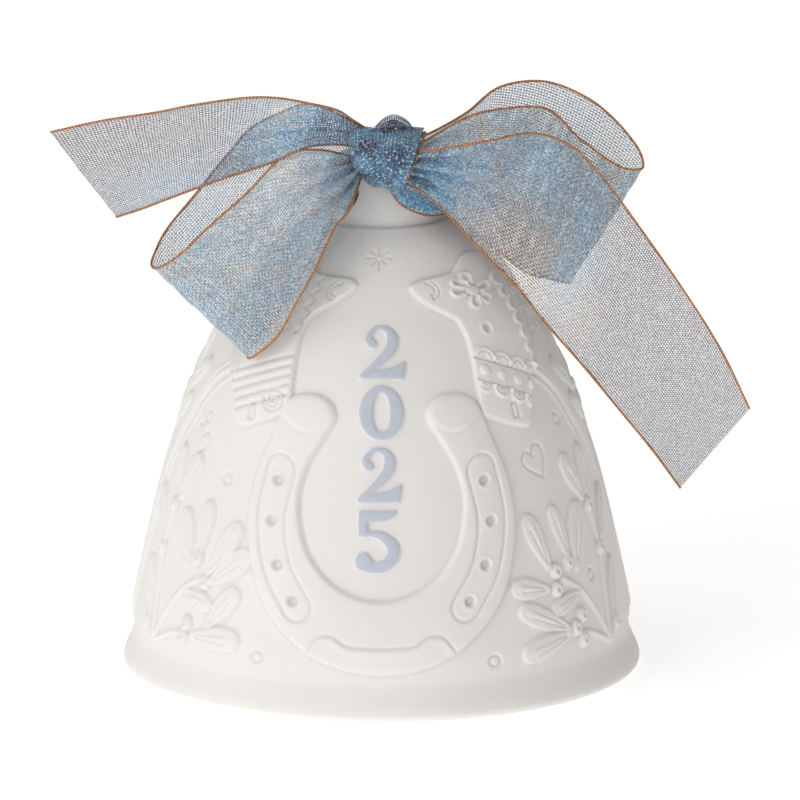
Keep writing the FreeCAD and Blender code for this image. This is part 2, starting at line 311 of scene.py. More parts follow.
def boot(relief, degrees, flip, outline):
    """The body of a folk boot, sole up and toe to the front. Returns its window and chart."""
    where, u, s = relief.patch(degrees, 17, 42, 77)
    if flip:
        u = -u
    d = from_shape(u, s, smooth(outline, 5, True))
    relief.pad(where, d, 0.68, 0.5)
    relief.h[where] += 0.28 * np.sqrt(np.clip(-d / 4.0, 0, 1)) * (d < 0)
    toe_d = np.hypot(u + 7.5, s - 67.8)
    for radius in (1.0, 1.7):
        relief.line(where, toe_d - radius, -0.26, 0.2, (u > -7.6) & (s < 69.0))
    slot_d = np.maximum(np.abs(u + 0.5) - 0.5, np.abs(s - 46.7) - 1.15)
    relief.line(where, slot_d, -0.34, 0.2)
    return where, u, s, d


def flower_boot(relief, degrees):
    """A boot with a flower on its foot, a pit on its ankle and a lace band round its shaft."""
    where, u, s, d = boot(relief, degrees, False, FLOWER_BOOT)
    inside = d < -0.25
    first, edge = np.array(PIPING_FIRST), np.array(PIPING_EDGE)
    for share in (0.0, 0.24, 0.48, 0.72):
        groove = from_path(u, s, smooth(first + (edge - first) * share, 5))
        relief.line(where, groove, -0.5, 0.24, inside)
    scallops = smooth(PIPING_FIRST[1:], 8)
    along = lengths(scallops)
    for k in range(7):
        place = [np.interp(along[-1] * (k + 0.5) / 7.0, along, scallops[:, i]) for i in (0, 1)]
        arc_d = np.hypot((u - place[0]) / (1.75 - 0.11 * k), s - place[1]) - 1.05
        relief.line(where, arc_d, 0.42, 0.24, (u < place[0] - 0.15) & inside)
    flower_u = (u + 0.3) / 1.3
    flower_s = s - 66.5
    for petal in (92, 6, -50, -102, 178, 138):
        way = (math.cos(math.radians(petal)), math.sin(math.radians(petal)))
        stroke = [(reach * way[0], reach * way[1], half) for reach, half in ((1.3, 0.5), (2.3, 0.75))]
        petal_d = from_stroke(flower_u, flower_s, stroke)
        relief.line(where, petal_d, 0.42, 0.22, inside)
        relief.sink(where, petal_d + 0.45, 0.2, 0.35)
    middle_d = np.hypot(flower_u, flower_s)
    relief.line(where, middle_d - 1.05, -0.36, 0.2)
    relief.pad(where, middle_d - 0.8, 1.3, 0.4)
    pit_d = np.hypot(u + 0.8, s - 60.1)
    relief.sink(where, pit_d - 0.7, 0.6, 0.4)
    relief.line(where, pit_d - 1.1, 0.16, 0.22)
    lean = math.radians(-24)
    across = (u + 5.0) * math.cos(lean) + (s - 56.0) * math.sin(lean)
    down = -(u + 5.0) * math.sin(lean) + (s - 56.0) * math.cos(lean)
    relief.line(where, down, -0.34, 0.18, inside)
    relief.line(where, down + 3.5, -0.24, 0.18, inside)
    for k in range(4):
        middle = 1.7 + 3.1 * k
        for arc_r, tall in ((1.5, 0.42), (0.8, 0.32)):
            upper = np.hypot(across - middle, down - 0.2) - arc_r
            relief.line(where, upper, tall, 0.25, inside & (down > 0.15))
            lower = np.hypot(across - middle - 0.3, down + 3.7) - arc_r
            relief.line(where, lower, tall, 0.25, inside & (down < -3.65))
        bead_d = np.hypot(across - middle - 0.1, down + 1.75)
        relief.pad(where, np.where(inside, bead_d - 0.85, 1.0), 1.32, 0.5)


def striped_boot(relief, degrees):
    """A boot with a banded shaft, a ring on its cuff and zigzag stitching on its foot."""
    where, u, s, d = boot(relief, degrees, True, BOOT)
    back_d = from_path(u, s, smooth(BOOT_BACK, 5))
    for step in range(4):
        relief.line(where, back_d - 0.6 - 0.66 * step, -0.46, 0.19, d < -0.2)
    inside = d < -0.3
    lean = math.radians(-22)
    down = -(u + 5.2) * math.sin(lean) + (s - 56.6) * math.cos(lean)
    for k in range(5):
        relief.line(where, down + 1.55 * k, -0.34, 0.2, inside)
        relief.line(where, down + 1.55 * k + 0.8, 0.14, 0.35, inside)
    ring_d = np.hypot(u + 3.9, s - 48.9)
    relief.sink(where, ring_d - 0.4, 0.45, 0.3)
    for radius in (0.95, 1.7):
        relief.line(where, ring_d - radius, -0.36, 0.18, inside)
    for k in range(3):
        fold = np.abs((s * 0.9 + k * 0.2) % 2.0 - 1.0)
        zigzag = u + 4.6 - 2.2 * k - fold * 0.9
        relief.line(where, zigzag * 0.8, -0.28, 0.2, inside & (s > 60) & (s < 70))
    relief.line(where, back_d - 4.0, -0.28, 0.2, inside & (s > 58))


def heart(relief, degrees, s_mid, tilt):
    """An engraved heart."""
    where, u, s = relief.patch(degrees, 6, s_mid - 6, s_mid + 6)
    half = [(0.0, -3.1), (1.35, -1.45), (2.4, 0.1), (2.35, 1.5), (1.35, 2.1), (0.45, 1.7), (0.0, 0.9)]
    outline = smooth(half, 6)
    outline = np.vstack([outline, outline[::-1] * [-1, 1]])
    d = from_path(u, s, turned(outline, tilt, (0, s_mid)))
    relief.line(where, d, -0.32, 0.24)


def ring(relief, degrees, s_mid):
    """A small engraved ring."""
    where, u, s = relief.patch(degrees, 3, s_mid - 3, s_mid + 3)
    relief.line(where, np.hypot(u * 0.92, s - s_mid) - 0.85, -0.34, 0.24)


def star(relief, degrees, s_mid):
    """A small engraved star of eight rays."""
    where, u, s = relief.patch(degrees, 4, s_mid - 4, s_mid + 4)
    for k in range(8):
        way = (math.sin(k * math.pi / 4), math.cos(k * math.pi / 4))
        long = 2.1 if k % 2 == 0 else 1.68
        stroke = [(0.5 * way[0], s_mid + 0.5 * way[1], 0.1), (long * way[0], s_mid + long * way[1], 0.05)]
        relief.sink(where, from_stroke(u, s, stroke), 0.38, 0.4)


def leaf(relief, where, u, s, tip, base, width):
    """A mistletoe leaf: a rounded pad with a groove near each edge of its rib."""
    tip, base = np.array(tip, float), np.array(base, float)
    path = [tuple(tip + (base - tip) * t) + (width / 2 * w,) for t, w in
            ((0.14, 0.82), (0.32, 1.0), (0.55, 0.86), (0.8, 0.55), (1.0, 0.3))]
    d = from_stroke(u, s, path)
    relief.pad(where, d, 0.5, 0.4)
    relief.mound(where, d, 0.74, width * 0.42)
    side = np.array([-(base - tip)[1], (base - tip)[0]]) / np.linalg.norm(base - tip)
    for offset in (-0.16, 0.16):
        start = tip + (base - tip) * 0.26 + side * width * offset
        rib = from_segment(u, s, start, tip + (base - tip) * 0.9 + side * width * offset * 0.3)[0]
        relief.line(where, rib, -0.24, 0.17)


def berry(relief, where, u, s, place):
    """A round berry with a pit at its middle."""
    d = np.hypot(u - place[0], s - place[1])
    relief.mound(where, d - 1.3, 1.05, 1.04)
    relief.sink(where, d - 0.38, 0.6, 0.36)


def stem(relief, where, u, s, path, half):
    """A rounded stalk along a path. half is half of its width."""
    d = from_path(u, s, smooth(path, 5)) - half
    relief.mound(where, d, 0.5, half)


# Mistletoe leaves, as (tip, base, width) in a chart whose u grows towards the side of the bell
RIGHT_LEAVES = [((-5.6, 30.2), (-2.6, 21.6), 3.6), ((0.2, 30.8), (2.2, 22.6), 3.1),
                ((7.0, 29.6), (4.2, 20.6), 5.2), ((-10.2, 19.4), (-3.6, 18.4), 3.4),
                ((-9.8, 16.0), (-0.4, 11.6), 3.6), ((-10.4, 8.6), (-0.2, 10.8), 3.5),
                ((-3.2, 14.6), (3.4, 16.6), 2.8)]
RIGHT_BERRIES = [(-1.2, 20.8), (2.0, 21.6), (-1.6, 17.9), (1.4, 11.3), (3.4, 13.0), (3.0, 9.2)]
LEFT_LEAVES = [((-9.2, 24.6), (-2.6, 19.4), 4.2), ((-6.6, 29.0), (-1.6, 20.6), 3.8),
               ((0.6, 31.4), (1.4, 22.6), 3.4), ((-8.0, 18.6), (-3.0, 12.4), 3.8),
               ((-9.6, 11.0), (-0.4, 10.4), 4.0), ((-3.4, 15.4), (3.2, 16.8), 2.8),
               ((6.6, 28.6), (4.2, 21.0), 4.6)]
LEFT_BERRIES = [(-1.2, 19.0), (1.4, 22.4), (1.6, 12.0), (2.2, 9.8)]
SHARED_LEAVES = [((5.8, 37.4), (9.4, 30.4), 4.0), ((12.2, 38.0), (11.2, 31.0), 3.4),
                 ((17.2, 19.5), (13.4, 9.8), 3.6), ((18.6, 30.5), (14.0, 23.4), 3.4)]
SHARED_BERRIES = [(11.0, 29.0), (12.7, 21.8), (13.9, 9.8)]
# Stems, as (path, half width)
STEMS = [([(0.4, 19.2), (4.1, 16.9), (7.6, 12.8), (10.8, 8.0)], 0.62),
         ([(2.0, 10.4), (5.4, 9.8), (10.4, 7.6)], 0.5),
         ([(12.6, 21.0), (11.8, 15.0), (11.2, 8.0)], 0.62),
         ([(10.6, 28.4), (11.8, 25.6), (12.6, 22.4)], 0.5),
         ([(13.6, 10.4), (12.4, 8.4), (11.4, 7.4)], 0.5)]


def mistletoe(relief, degrees, leaves, berries, flip):
    """A mistletoe sprig that grows from the rim, with leaves and pitted berries."""
    where, u, s = relief.patch(degrees, 23, 4.5, 42)
    if flip:
        u = -u
    for tip, base, width in leaves + SHARED_LEAVES:
        leaf(relief, where, u, s, tip, base, width)
    for path, half in STEMS:
        stem(relief, where, u, s, path, half)
    for place in berries + SHARED_BERRIES:
        berry(relief, where, u, s, place)


def side_panel(relief, degrees):
    """Two thin ribs that close to a point at the rim, with a leafy twig between them."""
    where, u, s = relief.patch(degrees, 24, 6, 58)
    rib = [(16.4, 53.6), (12.6, 50.6), (10.2, 46.9), (8.9, 43.1), (7.1, 39.7), (5.2, 34.6), (3.9, 29.3),
           (0.9, 9.5)]
    d = from_path(np.abs(u), s, smooth(rib, 6))
    relief.mound(where, d - 0.7, 0.62, 0.75)
    relief.line(where, d - 1.65, 0.26, 0.32)
    stem(relief, where, u, s, [(0.0, 39.0), (0.4, 46.0), (0.0, 52.0)], 0.5)
    for side in (-1, 1):
        leaf(relief, where, u, s, (side * 6.6, 51.6), (side * 0.8, 46.0), 3.6)
        leaf(relief, where, u, s, (side * 4.6, 45.2), (side * 0.6, 40.6), 2.8)
    leaf(relief, where, u, s, (0.0, 57.0), (0.0, 51.0), 3.6)
    berry(relief, where, u, s, (0.0, 46.2))


def shoulder_lace(relief, degrees):
    """Rows of small engraved arcs and dots over the shoulder, between two boots."""
    where, u, s = relief.patch(degrees, 9, 50, 72)
    for row in range(4):
        level = 57.0 + 3.4 * row
        for k in range(-2, 3):
            middle = 2.6 * k + 1.3 * (row % 2)
            arc_d = np.hypot(u - middle, s - level) - 1.15
            keep = (s > level) & (np.abs(u) < 6.2)
            relief.line(where, arc_d, 0.24, 0.22, keep)
            relief.sink(where, np.hypot(u - middle, s - level - 0.5) - 0.3, 0.25, 0.3, keep)


def carve(relief):
    """All of the shell's relief. The front is at 0 degrees."""
    for degrees in (90, -90):
        side_panel(relief, degrees)
    horseshoe(relief, 0)
    horseshoe(relief, 180)
    flower_boot(relief, 45)
    striped_boot(relief, -43)
    flower_boot(relief, 180 + 45)
    striped_boot(relief, 180 - 45)
    mistletoe(relief, 50, RIGHT_LEAVES, RIGHT_BERRIES, False)
    mistletoe(relief, -50, LEFT_LEAVES, LEFT_BERRIES, True)
    mistletoe(relief, 130, LEFT_LEAVES, LEFT_BERRIES, True)
    mistletoe(relief, -130, RIGHT_LEAVES, RIGHT_BERRIES, False)
    for degrees in (80, -80):
        shoulder_lace(relief, degrees)
    heart(relief, 48.5, 38.4, 22)
    heart(relief, -64, 40.0, -22)
    heart(relief, 124, 40.0, -22)
    heart(relief, -124, 39.0, 22)
    for degrees, level in ((27.2, 8.7), (-30, 9.1), (64.1, 43.6), (63.1, 18.5), (-47, 35.6), (-63, 44.0)):
        ring(relief, degrees, level)
    star(relief, -1, 74.0)
    star(relief, 179, 62.0)
    relief.h += 0.035 * np.sin(relief.angle * 3 + 0.7)[None, :] * ramp(relief.s / 9)[:, None]
    relief.h += np.random.default_rng(4).normal(0, 0.006, relief.h.shape)


def shell_points(relief):
    """Places of the relief's grid in space, as rows by columns by 3."""
    size = np.hypot(relief.slope_z, relief.slope_r)
    out_r = relief.slope_z / size
    out_z = -relief.slope_r / size
    r = relief.r[:, None] + relief.h * out_r[:, None]
    z = relief.z[:, None] + relief.h * out_z[:, None]
    return around(r, relief.angle, z)


def grid_normals(points):
    """Outward directions at the points of a grid."""
    across = np.roll(points, -1, 1) - np.roll(points, 1, 1)
    along = np.gradient(points, axis=0)
    normal = np.cross(across, along)
    return normal / np.linalg.norm(normal, axis=-1, keepdims=True)


def blurred(values, times):
    """Values of a grid averaged with their neighbours, several times over."""
    for _ in range(times):
        values = (values + np.roll(values, 1, 1) + np.roll(values, -1, 1)) / 3
        values[1:-1] = (values[1:-1] + values[:-2] + values[2:]) / 3
    return values


def grid_lookup(relief, co):
    """Grid rows and columns, as fractions, of points on or near the shell's outside."""
    angle = np.arctan2(co[:, 0], -co[:, 1])
    r = np.hypot(co[:, 0], co[:, 1])
    s = np.interp(co[:, 2], relief.z, relief.s)
    for _ in range(3):
        here = [np.interp(s, relief.s, a) for a in (relief.r, relief.z, relief.slope_r, relief.slope_z)]
        s = s + (r - here[0]) * here[2] + (co[:, 2] - here[1]) * here[3]
    row = np.clip((s - relief.s[0]) / (relief.s[-1] - relief.s[0]), 0, 1) * (len(relief.s) - 1)
    column = (angle + math.pi) / (2 * math.pi) * len(relief.angle)
    return row, column


def sample(values, row, column):
    """Values between grid points. Columns go round and round."""
    r0 = np.clip(row.astype(int), 0, values.shape[0] - 2)
    c0 = np.floor(column).astype(int)
    fr, fc = row - r0, column - c0
    c0, c1 = c0 % values.shape[1], (c0 + 1) % values.shape[1]
    if values.ndim == 3:
        fr, fc = fr[:, None], fc[:, None]
    top = values[r0, c0] * (1 - fc) + values[r0, c1] * fc
    low = values[r0 + 1, c0] * (1 - fc) + values[r0 + 1, c1] * fc
    return top * (1 - fr) + low * fr


def make_skin():
    """The shell below the crown: relief outside, plain cavity inside, one closed mesh."""
    relief = Relief(GRID_COLUMNS, GRID_ROWS)
    carve(relief)
    outer = shell_points(relief)
    rows, columns = relief.h.shape
    inner_line = [(r - WALL, z) for r, z in OUTER_LINE[1:-2] if z > 6]
    inner = smooth(CAVITY_FOOT + inner_line + [(CAVITY_NECK_R, CAVITY_TOP_Z)], 3)
    inner = np.vstack([[(CAVITY_MOUTH_R, 0.0)], inner, [(2.0, CAVITY_TOP_Z + 0.4)]])
    inside, cap = [[around(r, relief.angle, z) for r, z in line]
                   for line in (inner[::-1], [(8.0, CAP_Z), (2.0, CAP_Z)])]
    points = np.concatenate([inside, outer, cap])
    total = len(points)
    faces = grid_faces(total, columns, True)
    here, last = np.arange(columns), (total - 1) * columns
    following = (here + 1) % columns
    closing = np.stack([last + here, last + following, following, here], -1)
    skin = mesh_object("bell_skin", points.reshape(-1, 3), np.vstack([faces, closing]))
    shrink = skin.modifiers.new("fewer_faces", "DECIMATE")
    shrink.ratio = SKIN_FACES / (2.0 * len(skin.data.polygons))
    shrink.use_collapse_triangulate = True
    apply_modifiers(skin)
    co = vertex_array(skin)
    normals = np.zeros(co.size)
    skin.data.vertices.foreach_get("normal", normals)
    normals = normals.reshape(-1, 3)
    row, column = grid_lookup(relief, co)
    radial = np.hypot(co[:, 0], co[:, 1]) - np.interp(row, np.arange(rows), relief.r)
    outside = (np.abs(radial) < 1.4) & (row > 1) & (row < rows - 2)
    normals[outside] = sample(grid_normals(outer), row[outside], column[outside])
    # Painted shade: how far the relief lies below its blurred surroundings, used to darken the recesses in
    # the porcelain's colour
    painted_recess_shade = blurred(relief.h, 8) - blurred(relief.h, 1)
    value = np.zeros(len(co))
    value[outside] = sample(painted_recess_shade, row[outside], column[outside])
    point_value(skin, "painted_recess_shade", value)
    size = np.linalg.norm(normals, axis=1, keepdims=True)
    skin.data.normals_split_custom_set_from_vertices((normals / np.maximum(size, 1e-9)).tolist())
    return skin, relief


def halves(obj, names):
    """Two pieces from one, its front and its back, that meet at the sides."""
    faces = obj.data.polygons
    middle = np.zeros(len(faces) * 3)
    faces.foreach_get("center", middle)
    front = middle.reshape(-1, 3)[:, 1] < 0
    out = []
    for name, unwanted in zip(names, (~front, front)):
        part = obj.copy()
        part.data = obj.data.copy()
        part.name = part.data.name = name
        bpy.context.scene.collection.objects.link(part)
        edit_mesh(part, lambda work: bmesh.ops.delete(
            work, geom=[face for face, drop in zip(work.faces, unwanted) if drop], context="FACES"))
        out.append(part)
    bpy.data.objects.remove(obj)
    return out


def make_crown():
    """The crown knob with its ribbon bore, its edges softened as by a wet sponge."""
    line = np.vstack([[(0.01, 71.2)], smooth(CROWN_LINE, 10)[:-1], [(0.01, 83.0)]])
    crown = revolve("bell_crown", line, 128)
    tidy_mesh(crown, 0.03)
    along = np.array([math.cos(BORE_TURN), math.sin(BORE_TURN), 0])
    drill = revolve("drill", [(0.01, -20), (BORE_R, -20), (BORE_R, 20), (0.01, 20)], 48)
    tidy_mesh(drill, 0.03)
    drill.rotation_mode = "QUATERNION"
    drill.rotation_quaternion = Vector((0, 0, 1)).rotation_difference(Vector(along))
    drill.location = (0, 0, BORE_Z * MM)
    bpy.context.view_layer.update()
    cut = crown.modifiers.new("bore", "BOOLEAN")
    cut.operation = "DIFFERENCE"
    cut.solver = "EXACT"
    cut.object = drill
    remesh = crown.modifiers.new("even", "REMESH")
    remesh.mode = "VOXEL"
    remesh.voxel_size = 0.22 * MM
    soften = crown.modifiers.new("soften", "SMOOTH")
    soften.factor = 0.5
    soften.iterations = 8
    apply_modifiers(crown)
    bpy.data.objects.remove(drill)
    crown.data.polygons.foreach_set("use_smooth", np.ones(len(crown.data.polygons), bool))
    # The crown gets no painted recess shade
    point_value(crown, "painted_recess_shade", np.zeros(len(crown.data.vertices)))
    return crown


# ---------------------------------------------------------------- raised numerals

# Strokes are (across, up, half width) in millimetres from the numeral's foot, for a height of 9 mm
TWO_STROKE = [(-1.6, 5.9, 0.95), (-2.15, 6.5, 0.75), (-1.95, 7.35, 0.66), (-1.0, 8.3, 0.58), (0.1, 8.45, 0.6),
              (1.15, 7.9, 0.82), (1.68, 6.6, 1.05), (1.3, 5.1, 1.05), (0.35, 3.8, 0.9), (-0.8, 2.65, 0.75),
              (-2.15, 1.5, 0.52), (-2.9, 0.62, 0.5)]
TWO_FOOT = [(-3.6, 0.0), (3.1, 0.0), (3.3, 0.4), (3.7, 3.3), (2.6, 2.85), (1.1, 2.15), (-0.3, 1.85),
            (-2.2, 1.6)]
FIVE_BAR = [(-3.6, 8.85), (-2.75, 9.0), (2.75, 9.0), (2.9, 8.7), (2.45, 7.85), (1.05, 7.2), (-1.65, 7.0),
            (-1.65, 6.0), (-1.5, 5.6), (-2.6, 5.15), (-3.5, 5.0)]
FIVE_STROKE = [(-2.5, 5.5, 0.5), (-1.15, 5.65, 0.6), (0.45, 5.25, 0.8), (1.95, 3.95, 1.1), (1.85, 2.3, 1.1),
               (0.4, 1.15, 1.0), (-1.3, 1.05, 1.0), (-2.45, 1.8, 1.45)]


def two(u, v):
    return np.minimum(from_stroke(u, v, smooth(TWO_STROKE, 4)), from_shape(u, v, np.array(TWO_FOOT)))


def five(u, v):
    return np.minimum(from_stroke(u, v, smooth(FIVE_STROKE, 4)), from_shape(u, v, np.array(FIVE_BAR)))


def zero(u, v):
    turn = np.linspace(0, 2 * math.pi, 60, endpoint=False)
    c, s = np.cos(turn), np.sin(turn)
    outer = np.stack([3.6 * c, 4.5 + 4.5 * s], 1)
    inner = np.stack([1.1 * np.sign(c) * np.abs(c) ** 0.8, 4.55 + 2.85 * s], 1)
    return np.maximum(from_shape(u, v, outer), -from_shape(u, v, inner))


def make_numeral(name, figure, foot, top, aside, relief):
    """A figure raised from the shell: flat painted top, rounded white flanks, closed at the back."""
    step = 0.09
    across = np.arange(-4.6, 4.6, step)
    up = np.arange(-0.8, top - foot + 0.8, step)
    u, v = np.meshgrid(across, up)
    d = figure(u, v * 9.0 / (top - foot))
    for _ in range(int(0.4 / step) + 1):
        d[1:-1, 1:-1] = (4 * d[1:-1, 1:-1] + d[:-2, 1:-1] + d[2:, 1:-1] + d[1:-1, :-2] + d[1:-1, 2:]) / 8
    height = 0.72 * ramp(0.5 - (d + 0.1) / 0.66) - 0.12 + 0.06 * np.clip(-d / 1.0, 0, 1)
    height -= 0.25 * ramp(d / 0.3)
    s = foot + v
    r, z = np.interp(s, relief.s, relief.r), np.interp(s, relief.s, relief.z)
    out_r, out_z = np.interp(s, relief.s, relief.slope_z), -np.interp(s, relief.s, relief.slope_r)
    size = np.hypot(out_r, out_z)
    angle = (u + aside) / np.interp(foot + v.mean(), relief.s, relief.r)
    layers = []
    for h in (height, np.full_like(height, -0.7)):
        radius = r + h * out_r / size
        layers.append(around(radius, angle, z + h * out_z / size))
    rows, columns = d.shape
    quads = grid_faces(rows, columns)
    keep = (d.ravel()[quads].min(1) < 0.3)
    front = quads[keep]
    back = front[:, ::-1] + rows * columns
    edges = np.concatenate([front[:, [k, (k + 1) % 4]] for k in range(4)])
    key = np.sort(edges, 1) @ np.array([10 ** 7, 1])
    _, first, count = np.unique(key, return_index=True, return_counts=True)
    rim = edges[first[count == 1]]
    wall = np.stack([rim[:, 1], rim[:, 0], rim[:, 0] + rows * columns, rim[:, 1] + rows * columns], 1)
    obj = mesh_object(name, np.concatenate(layers).reshape(-1, 3), np.concatenate([front, back, wall]))
    point_value(obj, "inset", np.concatenate([-d.ravel(), np.full(d.size, -1.0)]))
    edit_mesh(obj, lambda work: bmesh.ops.delete(
        work, geom=[vert for vert in work.verts if not vert.link_faces], context="VERTS"))
    return obj


# ---------------------------------------------------------------- ribbon

RIBBON_WIDTH = 22.0
EDGE_THREAD_R = 0.19
PLEATS = 4
DEEPEST_PLEAT = 1.1
CRUMPLE = 0.13


def pleat_depth(spare):
    """Wave height over wave run for which a pleated width is spare times its chord."""
    steep = np.linspace(0, 12, 600)
    turn = np.linspace(0, 2 * math.pi, 200)
    long = np.sqrt(1 + (steep[:, None] * np.cos(turn)) ** 2).mean(1)
    return np.interp(spare, long, steep)


def sweep(name, paths, radius):
    """Thin round threads along one or more paths, as one mesh."""
    sides = 8
    points, faces, along, start = [], [], [], 0
    for path in paths:
        tangent = np.gradient(path, axis=0)
        tangent /= np.linalg.norm(tangent, axis=1, keepdims=True) + 1e-12
        side = np.cross(tangent, (0.31, -0.82, 0.48))
        side /= np.linalg.norm(side, axis=1, keepdims=True) + 1e-12
        other = np.cross(tangent, side)
        turn = np.linspace(0, 2 * math.pi, sides, endpoint=False)
        ring = (np.cos(turn)[None, :, None] * side[:, None] + np.sin(turn)[None, :, None] * other[:, None])
        tube = (path[:, None] + radius * ring).reshape(-1, 3)
        points += [tube, path[:1], path[-1:]]
        along.append(np.repeat(lengths(path), sides))
        along.append(np.array([0, lengths(path)[-1]]))
        faces.append(grid_faces(len(path), sides, True)[:, ::-1] + start)
        start += len(tube) + 2
    obj = mesh_object(name, np.concatenate(points), np.concatenate(faces))
    point_value(obj, "along", np.concatenate(along))
    return obj


def ribbon(name, stations, seed, spots=(), base=(0, 0), edges=(True, True), layers=0):
    """A strip between two edge lines. Each station is (point on edge A, point on edge B).
    Where the edges come closer than the ribbon's width, the cloth between them is pleated,
    or where layers is given it is folded lengthwise into that many layers.
    A spot (along, across, reach along, reach across, blue, copper) paints sheen onto the cloth:
    painted highlights of the shot cloth, and painted shade where blue passes 1.
    base gives the blue and copper sheen over the whole strip."""
    a = smooth([p for p, _ in stations], 14)
    b = smooth([q for _, q in stations], 14)
    chord = np.linalg.norm(b - a, axis=1)
    middle = (a + b) / 2
    along = lengths(middle)
    tangent = np.gradient(middle, axis=0)
    normal = np.cross(tangent, b - a)
    normal /= np.linalg.norm(normal, axis=1, keepdims=True) + 1e-12
    columns = 16 * PLEATS + 8
    t = np.linspace(0, 1, columns)
    spare = np.maximum(RIBBON_WIDTH / np.maximum(chord, 0.5), 1.0)
    depth = np.minimum(pleat_depth(spare) * chord / (2 * math.pi * PLEATS), DEEPEST_PLEAT)
    phase = 0.6 * np.sin(along / 9.0 + seed)[:, None]
    wave = np.sin(2 * math.pi * PLEATS * t[None, :] + phase + seed)
    wave += 0.35 * np.sin(2 * math.pi * (PLEATS * 0.5 + 0.3) * t[None, :] + 2.1 * seed + along[:, None] / 7)
    lift = depth[:, None] * wave * np.clip(0.35 + 0.5 * (spare[:, None] - 1), 0, 0.8)
    rng = np.random.default_rng(seed)
    for _ in range(7):
        ku, kv = rng.uniform(-0.3, 0.3), rng.uniform(0.08, 0.32)
        turn = ku * RIBBON_WIDTH * t[None, :] + kv * along[:, None] + rng.uniform(0, 6.28)
        lift += CRUMPLE * rng.uniform(0.2, 0.6) * np.sin(turn)
    fade = np.sin(math.pi * np.clip(t, 0.02, 0.98))[None, :] ** 0.35
    share = t
    if layers:
        turn = t * layers
        share = np.where(np.floor(turn) % 2 == 0, turn % 1, 1 - turn % 1)
        share[-1] = layers % 2
        lift = lift * 0.25 - 0.32 * turn[None, :]
        fade = 1.0
        spare = spare / layers
    points = a[:, None] + (b - a)[:, None] * share[None, :, None] + normal[:, None] * (lift * fade)[..., None]
    obj = mesh_object(name, points.reshape(-1, 3), grid_faces(len(a), columns))
    across_mm = (t[None, :] - 0.5) * np.maximum(RIBBON_WIDTH, chord)[:, None]
    along_mm = np.repeat(along[:, None], columns, 1)
    point_value(obj, "across", across_mm)
    point_value(obj, "along", along_mm)
    w = (along / along[-1])[:, None]
    blue = np.full(across_mm.shape, float(base[0]))
    copper = np.full(across_mm.shape, float(base[1]))
    for at, over, reach, wide, more_blue, more_copper in spots:
        patch = np.exp(-((w - at) / reach) ** 2 - ((t[None, :] - over) / wide) ** 2)
        blue = np.maximum(blue, more_blue * patch)
        copper = np.maximum(copper, more_copper * patch)
    # Painted shade: where the cloth is bunched into tight pleats, blue rises past 1 and darkens it towards
    # navy
    tight = np.clip((spare[:, None] - 1.15) / 1.2, 0, 1)
    point_value(obj, "blue", np.maximum(blue, tight * 1.5))
    point_value(obj, "copper", copper)
    sides = [points[:, k] for k, shown in ((0, edges[0]), (-1, edges[1])) if shown]
    threads = sweep(name + "_edges", sides, EDGE_THREAD_R) if sides else None
    return obj, threads, along[-1]


# Each ribbon runs from the knot. Edge A is the upper or outer one.
LEFT_TAIL = [((-2.0, -9.5, 87.5), (-3.0, -9.5, 84.5)), ((-4.5, -11.0, 89.5), (-6.5, -10.5, 85.5)),
             ((-7.0, -12.5, 91.5), (-11.5, -10.0, 85.0)), ((-11.5, -14.0, 93.0), (-15.0, -8.5, 83.0)),
             ((-16.5, -15.0, 94.0), (-19.5, -7.0, 81.0)), ((-21.5, -15.5, 94.0), (-23.5, -6.0, 79.5)),
             ((-29.5, -14.5, 92.5), (-28.0, -4.5, 77.5)), ((-35.0, -13.0, 91.0), (-33.5, -3.0, 75.0)),
             ((-43.5, -12.0, 89.5), (-37.5, -1.0, 73.0)), ((-51.5, -11.0, 87.5), (-41.5, 0.0, 71.5))]
LEFT_LOOP = [((-3.0, -10.5, 83.5), (-2.5, -11.5, 82.0)), ((-5.5, -12.5, 84.5), (-3.5, -16.0, 80.0)),
             ((-9.0, -14.0, 85.5), (-5.0, -19.5, 77.0)), ((-13.0, -15.0, 85.5), (-7.0, -21.5, 75.0)),
             ((-16.5, -15.0, 83.5), (-8.5, -23.5, 72.5)), ((-21.0, -14.5, 78.5), (-10.5, -25.5, 68.5)),
             ((-26.5, -14.5, 73.5), (-13.0, -25.5, 64.0)), ((-31.0, -14.0, 69.0), (-16.0, -23.5, 58.0)),
             ((-34.5, -13.5, 66.5), (-19.5, -22.0, 54.5)), ((-35.8, -11.5, 66.2), (-20.8, -20.5, 53.6)),
             ((-35.5, -9.5, 67.5), (-20.5, -18.5, 54.5)), ((-33.5, -6.5, 71.0), (-18.5, -17.5, 57.0)),
             ((-29.0, -3.5, 76.0), (-15.0, -17.0, 61.5)), ((-24.0, -2.0, 82.0), (-11.5, -15.5, 67.5)),
             ((-20.5, -1.5, 86.0), (-8.5, -15.0, 72.5)), ((-16.0, -2.0, 88.5), (-6.5, -14.0, 78.0)),
             ((-11.0, -4.5, 90.5), (-4.5, -12.5, 82.0)), ((-5.0, -7.0, 88.5), (-3.0, -10.0, 84.5)),
             ((-1.5, -8.0, 86.5), (-2.0, -9.5, 85.0))]
RIGHT_TAIL = [((2.5, -14.5, 84.2), (2.5, -14.5, 81.5)), ((5.0, -16.5, 85.4), (4.0, -16.5, 80.2)),
              ((9.0, -20.0, 86.7), (6.5, -16.0, 78.7)), ((16.5, -20.5, 88.1), (11.0, -15.5, 74.5)),
              ((23.5, -16.5, 88.5), (16.0, -15.5, 69.2)), ((29.5, -12.0, 85.5), (21.0, -16.0, 64.0)),
              ((34.5, -10.0, 80.0), (25.5, -15.0, 58.0)), ((40.5, -9.0, 71.5), (31.0, -12.0, 51.0)),
              ((47.0, -9.0, 62.0), (37.0, -7.0, 42.5)), ((53.0, -10.0, 52.5), (42.5, -2.0, 34.5)),
              ((57.5, -10.0, 43.0), (47.0, 2.0, 27.5))]
